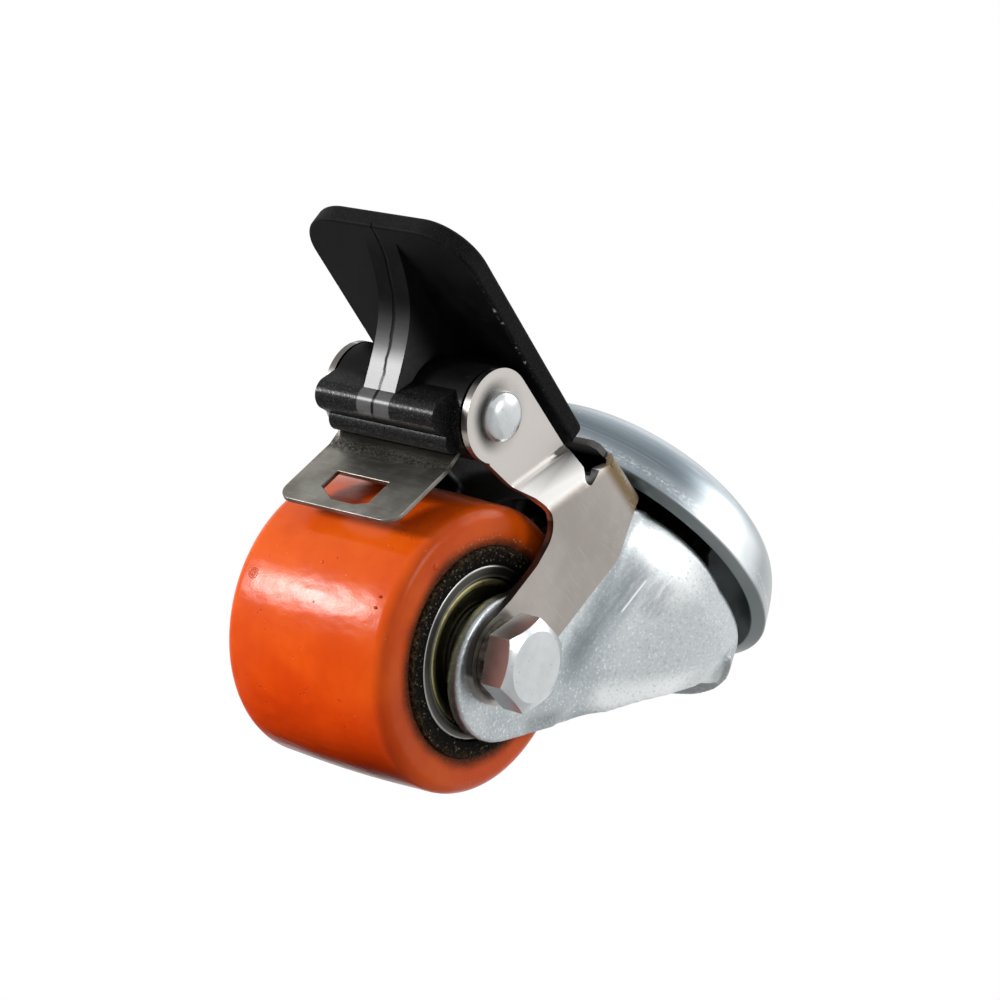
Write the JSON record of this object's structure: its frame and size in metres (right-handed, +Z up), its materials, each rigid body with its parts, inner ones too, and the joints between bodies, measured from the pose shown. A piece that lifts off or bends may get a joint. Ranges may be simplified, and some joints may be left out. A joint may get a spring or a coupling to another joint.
{
  "type": "braked swivel castor",
  "caption": "Swivel castor with orange polyurethane wheel on ball bearings, pressed steel fork, domed swivel head with a bolt hole and a foot pedal that presses a brake plate on the tread.",
  "frame": {"origin": "centre of the king tube's bore in the plane of the mounting face on top of the housing", "axes": "+Z up along the swivel axis, +X the way the wheel trails, +Y along the axle towards the bolt head"},
  "size_m": [0.1245, 0.0669, 0.0833],
  "materials": {
    "zinc_sheet": "blue-white zinc plate, satin",
    "steel": "ground steel",
    "zinc_fastener": "bright zinc plate",
    "stainless": "satin stainless sheet",
    "brake_stainless": "satin stainless sheet, a little grimy",
    "shield": "olive-gold passivated sheet",
    "black_hub": "moulded black",
    "black_pedal": "moulded black, fine texture",
    "tread": "cast polyurethane, glossy"
  },
  "bodies": {
    "mount_head": {"top_housing": "zinc_sheet", "king_tube": "steel", "upper_race": "steel", "lower_race": "steel", "king_nut": "zinc_fastener"},
    "upper_ball_row": {"swivel_balls_upper": "steel"},
    "lower_ball_row": {"swivel_balls_lower": "steel"},
    "fork_body": {"fork": "zinc_sheet", "crown_race": "steel", "crown_under_race": "steel", "brake_bracket": "stainless", "pivot_rivet": "zinc_fastener", "axle_bolt": "zinc_fastener", "spring_washer": "zinc_fastener", "nut_washer": "zinc_fastener", "axle_nut": "zinc_fastener", "axle_sleeve": "steel", "inner_spacer": "steel", "end_spacer_near": "steel", "end_spacer_far": "steel", "bearing_inner_near": "steel", "bearing_inner_far": "steel"},
    "wheel": {"wheel_core": "black_hub", "tread": "tread", "bearing_outer_near": "steel", "bearing_outer_far": "steel", "bearing_shield_near_out": "shield", "bearing_shield_near_in": "shield", "bearing_shield_far_in": "shield", "bearing_shield_far_out": "shield"},
    "near_ball_row": {"bearing_balls_near": "steel", "bearing_cage_near": "steel"},
    "far_ball_row": {"bearing_balls_far": "steel", "bearing_cage_far": "steel"},
    "brake_pedal": {"pedal": "black_pedal", "brake_plate": "brake_stainless"}
  },
  "joints": [
    {"name": "swivel", "type": "hinge", "parent": "mount_head", "child": "fork_body", "pos_m": [0, 0, 0], "axis": [0, 0, 1], "continuous": true},
    {"name": "upper_row_turn", "type": "hinge", "parent": "mount_head", "child": "upper_ball_row", "pos_m": [0, 0, 0], "axis": [0, 0, 1], "continuous": true},
    {"name": "lower_row_turn", "type": "hinge", "parent": "mount_head", "child": "lower_ball_row", "pos_m": [0, 0, 0], "axis": [0, 0, 1], "continuous": true},
    {"name": "wheel_spin", "type": "hinge", "parent": "fork_body", "child": "wheel", "pos_m": [0.0332, 0, -0.0583], "axis": [0, 1, 0], "continuous": true},
    {"name": "near_row_turn", "type": "hinge", "parent": "fork_body", "child": "near_ball_row", "pos_m": [0.0332, 0, -0.0583], "axis": [0, 1, 0], "continuous": true},
    {"name": "far_row_turn", "type": "hinge", "parent": "fork_body", "child": "far_ball_row", "pos_m": [0.0332, 0, -0.0583], "axis": [0, 1, 0], "continuous": true},
    {"name": "pedal_press", "type": "hinge", "parent": "fork_body", "child": "brake_pedal", "pos_m": [0.0596, 0, -0.0288], "axis": [0, 1, 0], "range_deg": [0, 8]}
  ],
  "couplings": [
    {"joint": "upper_row_turn", "follows": "swivel", "ratio": 0.5},
    {"joint": "lower_row_turn", "follows": "swivel", "ratio": 0.5},
    {"joint": "near_row_turn", "follows": "wheel_spin", "ratio": 0.61908},
    {"joint": "far_row_turn", "follows": "wheel_spin", "ratio": 0.61908}
  ]
}
